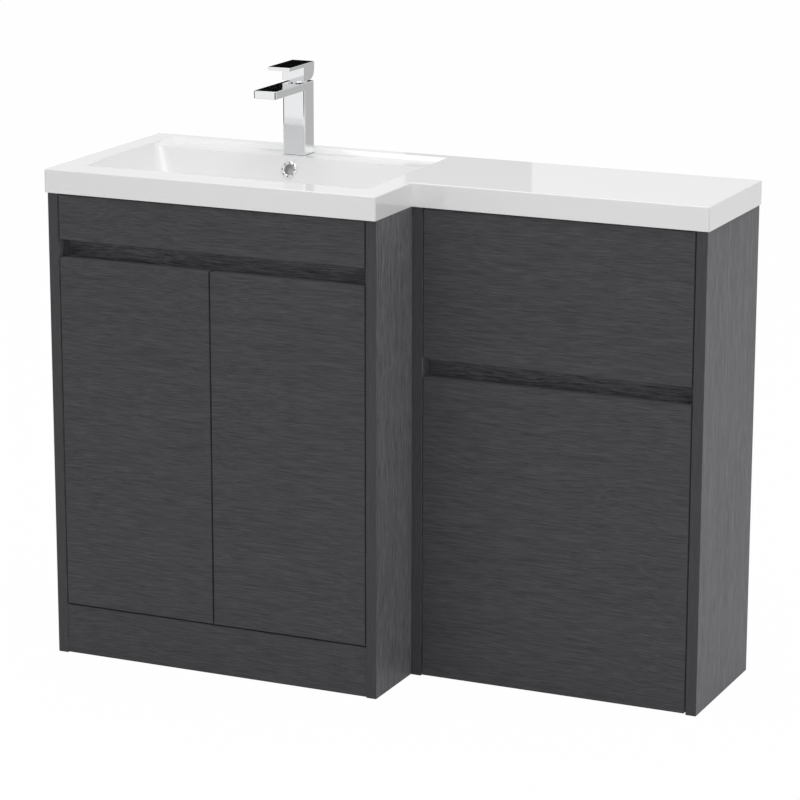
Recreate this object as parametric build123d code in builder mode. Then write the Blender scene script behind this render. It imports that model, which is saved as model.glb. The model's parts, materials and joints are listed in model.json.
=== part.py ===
# Bathroom furniture run: a deep vanity cabinet with two inset doors, a shallower
# back-to-wall toilet cabinet beside it, one L-shaped basin over both and a mixer tap.
# Millimetres. Origin: centre of the outline on the floor. +X right, +Y to the wall, +Z up.
from build123d import *
from math import atan, cos, degrees, radians, sin, sqrt
import os

os.makedirs("parts", exist_ok=True)

# Driving sizes of the run
basin_width = 1100.0
basin_depth = 395.0
basin_height = 830.0
basin_edge = 39.0
shallow_depth = 257.0

# Cabinets under the basin
side_overhang = 3.5
step_overhang = 0.5
front_overhang = 4.0
board = 18.0
edge_ease = 0.5
reveal = 2.5
vanity_width = 593.0
plinth_height = 85.5
plinth_setback = 1.5
plinth_lift = 1.0
door_gap = 3.0
fascia_height = 74.0
rail_gap = 31.0
top_shadow_gap = 3.0
wc_panel_height = 508.5
wc_panel_lift = 2.0

# Recessed finger rails and inner boards
finger_depth = 35.0
finger_board = 12.0
finger_drop = 24.0
lip_height = 10.0
bumper_height = 2.0
bumper_radius = 4.0
bumper_clearance = 0.3
bumper_end_inset = 40.0
bumper_top_drop = 19.0
back_rail_height = 100.0
batten_height = 70.0
shelf_height = 372.0
shelf_thickness = 16.0
shelf_front_gap = 60.0
shelf_back_gap = 60.0
shelf_side_gap = 1.0
pin_radius = 2.5
pin_in_board = 9.0
pin_reach = 8.0
pin_inset = 40.0
pin_spare_step = 32.0
pin_spare_count = 5
fastener_clearance = 0.05
hole_room = 1.0

# Concealed door hinges, placed from the door's outer front corner
hinge_low = 85.0
hinge_high = 500.0
cup_offset = 22.5
cup_radius = 17.5
cup_depth = 12.5
cup_wall = 1.1
cup_fit = 0.1
flange_width = 20.0
flange_length = 60.0
flange_thickness = 1.2
flange_corner = 9.0
flange_ring = 1.0
flange_screw_step = 48.0
outer_link_radius = 25.0
inner_link_radius = 22.0
link_thickness = 1.6
link_half_height = 5.7
outer_link_angles = (17, 80)
inner_link_angles = (20, 87)
arm_gap = 0.3
arm_sheet = 1.2
arm_front = 20.5
arm_back = 70.0
arm_reach = 14.0
arm_nose = 20.0
arm_nose_chamfer = 4.0
arm_nose_length = 10.0
arm_neck = 16.0
plate_front = 30.0
plate_back = 68.0
plate_half_height = 26.0
plate_spine = 16.0
plate_wing = 13.0
plate_corner = 3.0
plate_screw_line = 37.0
plate_screw_step = 32.0
screw_radius = 2.5
screw_length = 11.0
screw_head_radius = 3.4
screw_head_height = 1.4
screw_drive = 1.0

# Wall screws, cabinet connectors and clips
wall_hole_radius = 3.0
wall_hole_inset = 70.0
wall_hole_drop = 50.0
connector_radius = 3.0
connector_head_radius = 6.5
connector_head = 1.6
connector_inset = 60.0
connector_low = 120.0
connector_high = 700.0
clip_gap = 3.0
clip_radius = 7.0
clip_fit = 0.2
stud_radius = 3.6
stud_bore = 4.0
stud_length = 13.0
stud_flange_radius = 6.0
stud_flange = 0.8
clip_inset = 60.0
clip_top_drop = 28.0
clip_rise = 9.0

# Basin
rim_side = 41.0
rim_front = 57.0
bowl_depth = 112.0
bowl_side_draft = 36.0
bowl_front_draft = 30.0
bowl_back_draft = 42.0
bowl_top_corner = 12.0
bowl_low_corner = 52.0
bowl_floor_round = 24.0
shell = 9.0
deck = 12.0
skirt = 24.0
ledge_sink = 7.0
ledge_slope = 10.0
ledge_run = 60.0
rim_back = 23.0
ledge_block = 14.0
ledge_lap = 1.0
corner_round = 3.0
edge_round = 2.2
rim_ease = 1.4
tap_hole_radius = 17.5
tap_from_ledge_back = 34.0

# Overflow
overflow_drop = 28.0
overflow_radius = 11.0
overflow_ring_radius = 12.6
overflow_lip = 1.4
overflow_sleeve = 1.2
overflow_ring_depth = 6.0
duct_wall = 4.0
duct_gap = 8.0
duct_half_width = 16.0

# Waste and trap
waste_hole_radius = 23.0
boss_radius = 34.0
boss_drop = 30.0
waste_flange_radius = 32.0
waste_flange = 2.0
waste_tube_radius = 20.5
waste_bore = 17.0
waste_tube_length = 70.0
seal_thickness = 3.0
seal_inset = 2.0
backnut_height = 9.0
backnut_radius = 29.0
plug_radius = 30.5
plug_thickness = 5.0
plug_rise = 1.2
plug_play = 1.0
plug_skirt = 2.0
plug_stem_radius = 5.0
guide_radius = 5.08
guide_wall = 3.0
guide_bar = 4.0
guide_height = 8.0
guide_lap = 1.0
trap_nut_radius = 27.0
trap_nut_height = 22.0
trap_body_radius = 31.0
trap_body_height = 46.0
trap_cup_height = 62.0
trap_wall = 2.6
trap_shoulder = 4.0
dip_radius = 16.0
cup_step = 3.0
cup_ring_height = 14.0
cup_ring_margin = 2.0
cup_ring_sides = 16
trap_cup_round = 5.0
outlet_radius = 16.0
outlet_wall = 2.0
outlet_drop = 22.0
outlet_nut_radius = 22.0
outlet_nut_length = 20.0
outlet_nut_gap = 2.0
spigot_step = 0.5

# Mixer tap
tap_width = 41.0
tap_depth = 38.5
tap_height = 124.5
tap_edge = 1.2
tap_flange_margin = 1.5
tap_flange_height = 1.6
spout_reach = 108.0
spout_thickness = 13.5
spout_fillet = 4.0
cartridge_radius = 13.0
cartridge_fit = 0.1
cartridge_length = 40.0
collar_radius = 14.5
collar_height = 1.7
collar_spigot = 1.0
water_radius = 4.5
water_overlap = 2.0
lever_gap = 2.7
lever_block_height = 23.6
lever_plate_height = 6.0
lever_plate_front = 54.0
lever_back_round = 18.0
lever_wall = 5.0
lever_slot = 16.0
lever_ceiling = 1.0
lever_cheek = 1.0
stem_radius = 5.0
stem_play = 1.0
stem_pin_radius = 3.0
stem_eye_wall = 1.0
stem_pin_clearance = 0.05
pin_in_lever = 3.0
grub_radius = 2.0
grub_sink = 1.0
grub_drop = 5.0
aerator_radius = 8.0
aerator_height = 6.5
aerator_setback = 12.0
aerator_proud = 0.4
aerator_hole_radius = 0.9
inlet_radius = 4.25
inlet_depth = 20.0
inlet_step = 13.0
inlet_forward = 3.0
stud_bolt_radius = 3.0
stud_bolt_length = 62.0
stud_bolt_back = 9.0
tap_clamp_radius = 22.0
tap_clamp_plate = 3.0
tap_clamp_rubber = 2.0
tap_clamp_slot = 24.0
tap_clamp_slot_back = 6.0
tap_clamp_slot_round = 4.0
tap_nut_radius = 6.4
tap_nut_height = 6.0

# Places worked out from the sizes above
x_left = -basin_width / 2
x_right = basin_width / 2
y_front = -basin_depth / 2
y_wall = basin_depth / 2
cabinet_top = basin_height - basin_edge
x_step = x_left + side_overhang + vanity_width + step_overhang
y_step = y_wall - shallow_depth
vanity_x0 = x_left + side_overhang
vanity_x1 = vanity_x0 + vanity_width
vanity_front = y_front + front_overhang
wc_x0 = vanity_x1
wc_x1 = x_right - side_overhang
wc_front = y_step + front_overhang
inner_x0 = vanity_x0 + board
inner_x1 = vanity_x1 - board
door_bottom = plinth_height + door_gap
front_top = cabinet_top - top_shadow_gap
fascia_bottom = front_top - fascia_height
door_top = fascia_bottom - rail_gap
wc_low_top = wc_panel_lift + wc_panel_height
wc_high_bottom = wc_low_top + rail_gap
bumper_line = board + bumper_height + bumper_clearance
door_width = (inner_x1 - inner_x0 - 2 * reveal - door_gap) / 2
left_axis_x = inner_x0 + reveal
right_axis_x = inner_x1 - reveal
hinge_heights = (door_bottom + hinge_low, door_bottom + hinge_high)
wall_rail_z = cabinet_top - wall_hole_drop
bowl_x0 = x_left + rim_side
bowl_x1 = x_step - rim_side
bowl_y0 = y_front + rim_front
ledge_y1 = y_wall - rim_back
bowl_y1 = ledge_y1 - ledge_run
bowl_floor = basin_height - bowl_depth
ledge_top = basin_height - ledge_sink
ledge_underside = ledge_top - ledge_block
tap_x = (bowl_x0 + bowl_x1) / 2
tap_y = ledge_y1 - tap_from_ledge_back
waste_y = (bowl_y0 + bowl_y1) / 2
boss_bottom = bowl_floor - boss_drop


def keep(builder, name):
    """Label a finished piece and write it as its own file."""
    builder.part.label = name
    export_step(builder.part, f"parts/{name}.step")


def slab(x, y, z, ease=edge_ease):
    """A rectangular board between two limits on each axis, with eased edges."""
    with BuildPart() as piece:
        with BuildSketch(Plane.XY.offset(z[0])):
            with Locations(((x[0] + x[1]) / 2, (y[0] + y[1]) / 2)):
                Rectangle(x[1] - x[0], y[1] - y[0])
        extrude(amount=z[1] - z[0])
        if ease:
            chamfer(piece.edges(), ease)
    return piece


def rounded_box(x, y, z, radius):
    """An upright block with rounded vertical edges, for hollows and bosses."""
    with BuildPart() as piece:
        with BuildSketch(Plane.XY.offset(z[0])):
            with Locations(((x[0] + x[1]) / 2, (y[0] + y[1]) / 2)):
                RectangleRounded(x[1] - x[0], y[1] - y[0], radius)
        extrude(amount=z[1] - z[0])
    return piece


# Shelf pins and the rows of spare holes that they plug into
shelf_y0 = vanity_front + shelf_front_gap
shelf_y1 = y_wall - shelf_back_gap
pin_rows = (shelf_y0 + pin_inset, shelf_y1 - pin_inset)
pin_z = shelf_height - pin_radius
spare_z = [pin_z + pin_spare_step * (i - pin_spare_count // 2) for i in range(pin_spare_count)]


def drill_x(x, places, radius, depth):
    """Drill along X from a face at x, into +X for a positive depth and -X for a negative one."""
    direction = 1 if depth > 0 else -1
    with BuildSketch(Plane(origin=(x, 0, 0), x_dir=(0, 1, 0), z_dir=(1, 0, 0))) as holes:
        with Locations(*places):
            Circle(radius)
    extrude(holes.sketch, amount=abs(depth), dir=(direction, 0, 0), mode=Mode.SUBTRACT)


# Where cabinet connectors pass through the two boards that stand side by side
connector_places = [
    (y, z)
    for y in (wc_front + connector_inset, y_wall - connector_inset)
    for z in (connector_low, connector_high)
]
plate_screw_places = [
    (vanity_front + plate_screw_line, z + side * plate_screw_step / 2)
    for z in hinge_heights
    for side in (-1, 1)
]
pin_places = [(y, z) for y in pin_rows for z in spare_z]
pin_hole = pin_radius + fastener_clearance
screw_hole = screw_radius + fastener_clearance
connector_hole = connector_radius + fastener_clearance

vanity_left_side = slab((vanity_x0, inner_x0), (vanity_front, y_wall), (0, cabinet_top))
with vanity_left_side:
    drill_x(inner_x0, pin_places, pin_hole, -(pin_in_board + hole_room))
    drill_x(inner_x0, plate_screw_places, screw_hole, -(screw_length + hole_room))
keep(vanity_left_side, "vanity_left_side")

vanity_right_side = slab((inner_x1, vanity_x1), (vanity_front, y_wall), (0, cabinet_top))
with vanity_right_side:
    drill_x(inner_x1, pin_places, pin_hole, pin_in_board + hole_room)
    drill_x(inner_x1, plate_screw_places, screw_hole, screw_length + hole_room)
    drill_x(inner_x1, connector_places, connector_hole, board)
keep(vanity_right_side, "vanity_right_side")

# Fixed boards of the vanity cabinet
plinth_y0 = vanity_front + plinth_setback
base_y0 = plinth_y0 + board
base_y1 = y_wall - board
vanity_plinth = slab((inner_x0, inner_x1), (plinth_y0, base_y0), (plinth_lift, plinth_height))
keep(vanity_plinth, "vanity_plinth")

vanity_base_panel = slab(
    (inner_x0, inner_x1), (base_y0, base_y1), (plinth_height - board, plinth_height)
)
keep(vanity_base_panel, "vanity_base_panel")

vanity_lower_back_rail = slab(
    (inner_x0, inner_x1), (base_y1, y_wall), (plinth_height - board, back_rail_height + plinth_height)
)
keep(vanity_lower_back_rail, "vanity_lower_back_rail")


def wall_rail(x0, x1):
    """Upper back rail with the two holes for the wall screws."""
    rail = slab((x0, x1), (y_wall - board, y_wall), (cabinet_top - back_rail_height, cabinet_top))
    with rail:
        with BuildSketch(Plane(origin=(0, y_wall, 0), x_dir=(1, 0, 0), z_dir=(0, -1, 0))) as holes:
            with Locations((x0 + wall_hole_inset, wall_rail_z), (x1 - wall_hole_inset, wall_rail_z)):
                Circle(wall_hole_radius)
        extrude(holes.sketch, amount=board, mode=Mode.SUBTRACT)
    return rail


vanity_upper_back_rail = wall_rail(inner_x0, inner_x1)
keep(vanity_upper_back_rail, "vanity_upper_back_rail")

vanity_fascia = slab(
    (inner_x0 + reveal, inner_x1 - reveal),
    (vanity_front, vanity_front + board),
    (fascia_bottom, front_top),
)
keep(vanity_fascia, "vanity_fascia")

vanity_shelf = slab(
    (inner_x0 + shelf_side_gap, inner_x1 - shelf_side_gap),
    (shelf_y0, shelf_y1),
    (shelf_height, shelf_height + shelf_thickness),
)
keep(vanity_shelf, "vanity_shelf")

with BuildPart() as shelf_pins:
    for face_x, direction in ((inner_x0, 1), (inner_x1, -1)):
        start = face_x - direction * pin_in_board
        with BuildSketch(Plane(origin=(start, 0, 0), x_dir=(0, 1, 0), z_dir=(1, 0, 0))):
            with Locations(*[(y, pin_z) for y in pin_rows]):
                Circle(pin_radius)
        extrude(amount=pin_in_board + pin_reach, dir=(direction, 0, 0))
keep(shelf_pins, "shelf_pins")


def finger_rail(x0, x1, front, top_front, bottom_front, low, top, bottom_thickness):
    """A C-shaped channel behind the gap: a back board, a top flange and a bottom flange."""
    back = front + finger_depth
    with BuildPart() as rail:
        with BuildSketch(Plane(origin=(x0, 0, 0), x_dir=(0, 1, 0), z_dir=(1, 0, 0))):
            with BuildLine():
                Polyline(
                    (front + top_front, top),
                    (front + top_front, top + board),
                    (back + finger_board, top + board),
                    (back + finger_board, low),
                    (front + bottom_front, low),
                    (front + bottom_front, low + bottom_thickness),
                    (back, low + bottom_thickness),
                    (back, top),
                    close=True,
                )
            make_face()
        extrude(amount=x1 - x0)
    return rail


vanity_finger_rail = finger_rail(
    inner_x0,
    inner_x1,
    vanity_front,
    board,
    bumper_line,
    door_top - finger_drop,
    fascia_bottom,
    lip_height,
)
keep(vanity_finger_rail, "vanity_finger_rail")


def hinge_point(axis_x, side, u, v):
    """A plan point u inboard of the door's outer front corner and v behind the front."""
    return (axis_x + side * u, vanity_front + v)


def door(axis_x, side):
    """An inset door with blind bores for its two hinge cups."""
    far_x = axis_x + side * door_width
    leaf = slab(
        (min(axis_x, far_x), max(axis_x, far_x)),
        (vanity_front, vanity_front + board),
        (door_bottom, door_top),
    )
    back = vanity_front + board
    with leaf:
        with BuildSketch(Plane(origin=(0, back, 0), x_dir=(1, 0, 0), z_dir=(0, -1, 0))) as holes:
            with Locations(*[(axis_x + side * cup_offset, z) for z in hinge_heights]):
                Circle(cup_radius + cup_fit)
        extrude(holes.sketch, amount=cup_depth + cup_fit, mode=Mode.SUBTRACT)
    return leaf


def hinge_cups(axis_x, side):
    """Pressed cups with their screw flanges, open to the back of the door."""
    back = vanity_front + board
    centres = [(axis_x + side * cup_offset, z) for z in hinge_heights]
    behind = Plane(origin=(0, back, 0), x_dir=(1, 0, 0), z_dir=(0, -1, 0))
    proud = Plane(origin=(0, back + flange_thickness, 0), x_dir=(1, 0, 0), z_dir=(0, -1, 0))
    with BuildPart() as cups:
        with BuildSketch(behind):
            with Locations(*centres):
                Circle(cup_radius)
        extrude(amount=cup_depth)
        with BuildSketch(proud):
            with Locations(*centres):
                RectangleRounded(flange_width, flange_length, flange_corner)
                Circle(cup_radius + cup_fit + flange_ring)
        extrude(amount=flange_thickness)
        with BuildSketch(proud):
            with Locations(*centres):
                Circle(cup_radius - cup_wall)
        extrude(amount=flange_thickness + cup_depth - cup_wall, mode=Mode.SUBTRACT)
        with BuildSketch(proud):
            with Locations(*[(x, z + s * flange_screw_step / 2) for x, z in centres for s in (-1, 1)]):
                Circle(screw_radius * 0.8)
        extrude(amount=flange_thickness, mode=Mode.SUBTRACT)
    return cups


def hinge_links(axis_x, side, radius, angles):
    """Curved links about the door's swing axis, one at each hinge."""
    start, end = angles
    inner, outer = radius - link_thickness / 2, radius + link_thickness / 2

    def at(r, angle):
        return hinge_point(axis_x, side, r * cos(radians(angle)), r * sin(radians(angle)))

    middle = (start + end) / 2
    with BuildPart() as links:
        for z in hinge_heights:
            with BuildSketch(Plane.XY.offset(z - link_half_height)):
                with BuildLine():
                    ThreePointArc(at(outer, start), at(outer, middle), at(outer, end))
                    Line(at(outer, end), at(inner, end))
                    ThreePointArc(at(inner, end), at(inner, middle), at(inner, start))
                    Line(at(inner, start), at(outer, start))
                make_face()
            extrude(amount=2 * link_half_height)
    return links


def hinge_arms(axis_x, side):
    """Arms on the side panel: two cheeks with the links between them, and a cap behind."""
    cheek = link_half_height + arm_gap
    outline = [
        (0, arm_front),
        (arm_nose - arm_nose_chamfer, arm_front),
        (arm_nose, arm_front + arm_nose_chamfer),
        (arm_nose, arm_front + arm_nose_length),
        (arm_reach, arm_front + arm_neck),
        (arm_reach, arm_back),
        (0, arm_back),
    ]
    with BuildPart() as arms:
        for z in hinge_heights:
            for low in (z - cheek - arm_sheet, z + cheek):
                with BuildSketch(Plane.XY.offset(low)):
                    with BuildLine():
                        Polyline(*[hinge_point(axis_x, side, u, v) for u, v in outline], close=True)
                    make_face()
                extrude(amount=arm_sheet)
            with BuildSketch(Plane.XY.offset(z - cheek)):
                corners = [
                    (arm_reach - arm_sheet, arm_front + arm_neck),
                    (arm_reach, arm_front + arm_neck),
                    (arm_reach, arm_back),
                    (arm_reach - arm_sheet, arm_back),
                ]
                with BuildLine():
                    Polyline(*[hinge_point(axis_x, side, u, v) for u, v in corners], close=True)
                make_face()
            extrude(amount=2 * cheek)
    return arms


for name, axis_x, side in (("left", left_axis_x, 1), ("right", right_axis_x, -1)):
    keep(door(axis_x, side), f"{name}_door")
    keep(hinge_cups(axis_x, side), f"{name}_hinge_cups")
    outer_links = hinge_links(axis_x, side, outer_link_radius, outer_link_angles)
    keep(outer_links, f"{name}_hinge_outer_links")
    inner_links = hinge_links(axis_x, side, inner_link_radius, inner_link_angles)
    keep(inner_links, f"{name}_hinge_inner_links")
    keep(hinge_arms(axis_x, side), f"{name}_hinge_arms")

# Mounting plates on the side panels, with their screws
with BuildPart() as hinge_plates:
    for axis_x, side in ((left_axis_x, 1), (right_axis_x, -1)):
        wall_x = axis_x - side * reveal
        on_wall = Plane(origin=(wall_x, 0, 0), x_dir=(0, 1, 0), z_dir=(1, 0, 0))
        for z in hinge_heights:
            with BuildSketch(on_wall):
                with Locations((vanity_front + (plate_front + plate_back) / 2, z)):
                    RectangleRounded(plate_back - plate_front, plate_spine, plate_corner)
                with Locations((vanity_front + plate_screw_line, z)):
                    RectangleRounded(plate_wing, 2 * plate_half_height, plate_corner)
            extrude(amount=reveal, dir=(side, 0, 0))
        with BuildSketch(on_wall):
            with Locations(*plate_screw_places):
                Circle(screw_hole)
        extrude(amount=reveal, dir=(side, 0, 0), mode=Mode.SUBTRACT)
keep(hinge_plates, "hinge_plates")

with BuildPart() as hinge_plate_screws:
    for axis_x, side in ((left_axis_x, 1), (right_axis_x, -1)):
        seat = Plane(origin=(axis_x, 0, 0), x_dir=(0, 1, 0), z_dir=(1, 0, 0))
        with BuildSketch(seat):
            with Locations(*plate_screw_places):
                Circle(screw_radius)
        extrude(amount=screw_length, dir=(-side, 0, 0))
        with BuildSketch(seat):
            with Locations(*plate_screw_places):
                Circle(screw_head_radius)
        extrude(amount=screw_head_height, dir=(side, 0, 0))
        with BuildSketch(seat.offset(side * screw_head_height)):
            with Locations(*plate_screw_places):
                Rectangle(screw_drive, screw_head_radius)
                Rectangle(screw_head_radius, screw_drive)
        extrude(amount=screw_head_height / 2, dir=(-side, 0, 0), mode=Mode.SUBTRACT)
keep(hinge_plate_screws, "hinge_plate_screws")


def door_bumpers(axis_x, side):
    """Soft pads on the back of a door that meet the lip of the finger rail."""
    back = vanity_front + board
    spots = [
        (axis_x + side * u, door_top - bumper_top_drop)
        for u in (door_width / 2, door_width - bumper_end_inset)
    ]
    with BuildPart() as pads:
        with BuildSketch(Plane(origin=(0, back, 0), x_dir=(-1, 0, 0), z_dir=(0, 1, 0))):
            with Locations(*[(-x, z) for x, z in spots]):
                Circle(bumper_radius)
        extrude(amount=bumper_height)
        fillet(pads.edges().group_by(Axis.Y)[-1], bumper_height * 0.4)
    return pads


keep(door_bumpers(left_axis_x, 1), "left_door_bumpers")
keep(door_bumpers(right_axis_x, -1), "right_door_bumpers")

# Toilet cabinet
wc_inner_x0 = wc_x0 + board
wc_inner_x1 = wc_x1 - board
wc_left_side = slab((wc_x0, wc_inner_x0), (wc_front, y_wall), (0, cabinet_top))
with wc_left_side:
    drill_x(wc_x0, connector_places, connector_hole, board)
keep(wc_left_side, "wc_left_side")

wc_right_side = slab((wc_inner_x1, wc_x1), (wc_front, y_wall), (0, cabinet_top))
keep(wc_right_side, "wc_right_side")

wc_upper_back_rail = wall_rail(wc_inner_x0, wc_inner_x1)
keep(wc_upper_back_rail, "wc_upper_back_rail")

wc_panel_x = (wc_inner_x0 + reveal, wc_inner_x1 - reveal)
wc_lower_panel = slab(wc_panel_x, (wc_front, wc_front + board), (wc_panel_lift, wc_low_top))
keep(wc_lower_panel, "wc_lower_panel")

clip_line = board + clip_gap
wc_finger_rail = finger_rail(
    wc_inner_x0, wc_inner_x1, wc_front, clip_line, board, wc_low_top - rail_gap, wc_high_bottom, board
)
clip_low_z = wc_high_bottom + clip_rise
clip_high_z = front_top - clip_top_drop
clip_x = (wc_panel_x[0] + clip_inset, wc_panel_x[1] - clip_inset)
clip_places = [(x, z) for x in clip_x for z in (clip_low_z, clip_high_z)]


def bore_clip_holes(piece, height, radius, depth):
    """Blind holes for the clip studs, at one height, from the front of a batten."""
    face = Plane(origin=(0, wc_front + clip_line, 0), x_dir=(-1, 0, 0), z_dir=(0, 1, 0))
    with piece:
        with BuildSketch(face) as holes:
            with Locations(*[(-x, height) for x in clip_x]):
                Circle(radius)
        extrude(holes.sketch, amount=depth, mode=Mode.SUBTRACT)


socket_bore = stud_bore
bore_clip_holes(wc_finger_rail, clip_low_z, socket_bore, stud_length)
keep(wc_finger_rail, "wc_finger_rail")

wc_top_batten = slab(
    (wc_inner_x0, wc_inner_x1),
    (wc_front + clip_line, wc_front + clip_line + board),
    (front_top - batten_height, front_top),
)
bore_clip_holes(wc_top_batten, clip_high_z, socket_bore, stud_length)
keep(wc_top_batten, "wc_top_batten")

wc_bottom_batten = slab(
    (wc_inner_x0, wc_inner_x1),
    (wc_front + board, wc_front + 2 * board),
    (plinth_height - batten_height, plinth_height),
)
keep(wc_bottom_batten, "wc_bottom_batten")

wc_upper_panel = slab(wc_panel_x, (wc_front, wc_front + board), (wc_high_bottom, front_top))
keep(wc_upper_panel, "wc_upper_panel")

panel_back = Plane(origin=(0, wc_front + board, 0), x_dir=(-1, 0, 0), z_dir=(0, 1, 0))
clip_face = Plane(origin=(0, wc_front + clip_line, 0), x_dir=(1, 0, 0), z_dir=(0, -1, 0))
with BuildPart() as panel_clip_sockets:
    with BuildSketch(clip_face):
        with Locations(*clip_places):
            Circle(clip_radius)
            Circle(stud_bore, mode=Mode.SUBTRACT)
    extrude(amount=clip_gap - stud_flange - clip_fit)
keep(panel_clip_sockets, "panel_clip_sockets")

with BuildPart() as panel_clip_studs:
    with BuildSketch(panel_back):
        with Locations(*[(-x, z) for x, z in clip_places]):
            Circle(stud_flange_radius)
    extrude(amount=stud_flange)
    with BuildSketch(panel_back):
        with Locations(*[(-x, z) for x, z in clip_places]):
            Circle(stud_radius)
    extrude(amount=stud_length)
keep(panel_clip_studs, "panel_clip_studs")

with BuildPart() as cabinet_connectors:
    across = Plane(origin=(inner_x1 - connector_head, 0, 0), x_dir=(0, 1, 0), z_dir=(1, 0, 0))
    with BuildSketch(across):
        with Locations(*connector_places):
            Circle(connector_radius)
    extrude(amount=2 * board + 2 * connector_head)
    with BuildSketch(across):
        with Locations(*connector_places):
            Circle(connector_head_radius)
    extrude(amount=connector_head)
    with BuildSketch(Plane(origin=(wc_inner_x0, 0, 0), x_dir=(0, 1, 0), z_dir=(1, 0, 0))):
        with Locations(*connector_places):
            Circle(connector_head_radius)
    extrude(amount=connector_head)
keep(cabinet_connectors, "cabinet_connectors")

# Basin: bowl hollow and the shell round it, both as tapered blocks with a rounded floor
back_slope = bowl_back_draft / bowl_depth


def back_wall_y(z):
    """The bowl's back wall at a height, on the inside."""
    return bowl_y1 - (basin_height - z) * back_slope


def bowl_side_x(z):
    """The bowl's left wall at a height, on the inside."""
    return bowl_x0 + (basin_height - z) * bowl_side_draft / bowl_depth


def bowl_section(z, grow):
    """The bowl's outline at a height, grown outwards."""
    share = (basin_height - z) / bowl_depth
    x0 = bowl_side_x(z) - grow
    x1 = bowl_x0 + bowl_x1 - x0
    y0 = bowl_y0 + bowl_front_draft * share - grow
    y1 = back_wall_y(z) + grow
    corner = bowl_top_corner + (bowl_low_corner - bowl_top_corner) * share + grow
    with BuildSketch(Plane.XY.offset(z)) as outline:
        with Locations(((x0 + x1) / 2, (y0 + y1) / 2)):
            RectangleRounded(x1 - x0, y1 - y0, corner)
    return outline.sketch


rim_low = basin_height - rim_ease
with BuildPart() as bowl_hollow:
    loft(
        sections=[
            bowl_section(bowl_floor, 0),
            bowl_section(rim_low, 0),
            bowl_section(basin_height, rim_ease),
        ],
        ruled=True,
    )
    fillet(bowl_hollow.edges().group_by(Axis.Z)[0], bowl_floor_round)

with BuildPart() as bowl_shell:
    loft(
        sections=[bowl_section(bowl_floor - shell, shell), bowl_section(basin_height - deck / 2, shell)],
        ruled=True,
    )
    fillet(bowl_shell.edges().group_by(Axis.Z)[0], bowl_floor_round + shell)

# Sunken tap ledge behind the bowl, with sloping sides and back
ledge_y0 = (bowl_y0 + bowl_y1) / 2


def ledge_section(z, x0, y1):
    """The sunken ledge's outline at a height, symmetrical about the tap."""
    with BuildSketch(Plane.XY.offset(z)) as outline:
        with Locations((tap_x, (ledge_y0 + y1) / 2)):
            Rectangle(2 * (tap_x - x0), y1 - ledge_y0)
    return outline.sketch


with BuildPart() as ledge_hollow:
    loft(
        sections=[
            ledge_section(ledge_top, bowl_x0 + ledge_slope, ledge_y1 - ledge_slope),
            ledge_section(rim_low, bowl_side_x(rim_low), ledge_y1),
            ledge_section(basin_height, bowl_x0 - rim_ease, ledge_y1 + rim_ease),
        ],
        ruled=True,
    )

ledge_thickening = rounded_box(
    (bowl_x0, bowl_x1),
    (bowl_y1 - bowl_back_draft / 2, y_wall - skirt + ledge_lap),
    (ledge_underside, ledge_top),
    edge_round,
)

# Cast overflow channel: down behind the bowl, then forward under it to the waste hole
overflow_z = basin_height - overflow_drop
overflow_tilt = degrees(atan(back_slope))
overflow_face = Plane(
    origin=(tap_x, back_wall_y(overflow_z), overflow_z),
    x_dir=(1, 0, 0),
    z_dir=(0, -cos(radians(overflow_tilt)), sin(radians(overflow_tilt))),
)
duct_top = overflow_z + overflow_radius
duct_low = boss_bottom + duct_wall
duct_out = duct_wall + duct_gap


def duct(margin, half_width):
    """The channel's outline in side view, grown by a wall."""
    with BuildPart() as channel:
        with BuildSketch(Plane(origin=(tap_x - half_width, 0, 0), x_dir=(0, 1, 0), z_dir=(1, 0, 0))):
            with BuildLine():
                Polyline(
                    (back_wall_y(duct_top) + duct_wall - margin, duct_top + margin),
                    (back_wall_y(duct_top) + duct_out + margin, duct_top + margin),
                    (back_wall_y(duct_low) + duct_out + margin, duct_low - margin),
                    (waste_y, duct_low - margin),
                    (waste_y, duct_low + duct_gap + margin),
                    (back_wall_y(duct_low) - duct_gap, duct_low + duct_gap + margin),
                    (back_wall_y(bowl_floor) + duct_wall - margin, bowl_floor - duct_wall),
                    close=True,
                )
            make_face()
        extrude(amount=2 * half_width)
    return channel


duct_body = duct(duct_wall, duct_half_width + duct_wall)
duct_hollow = duct(0, duct_half_width)

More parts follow.
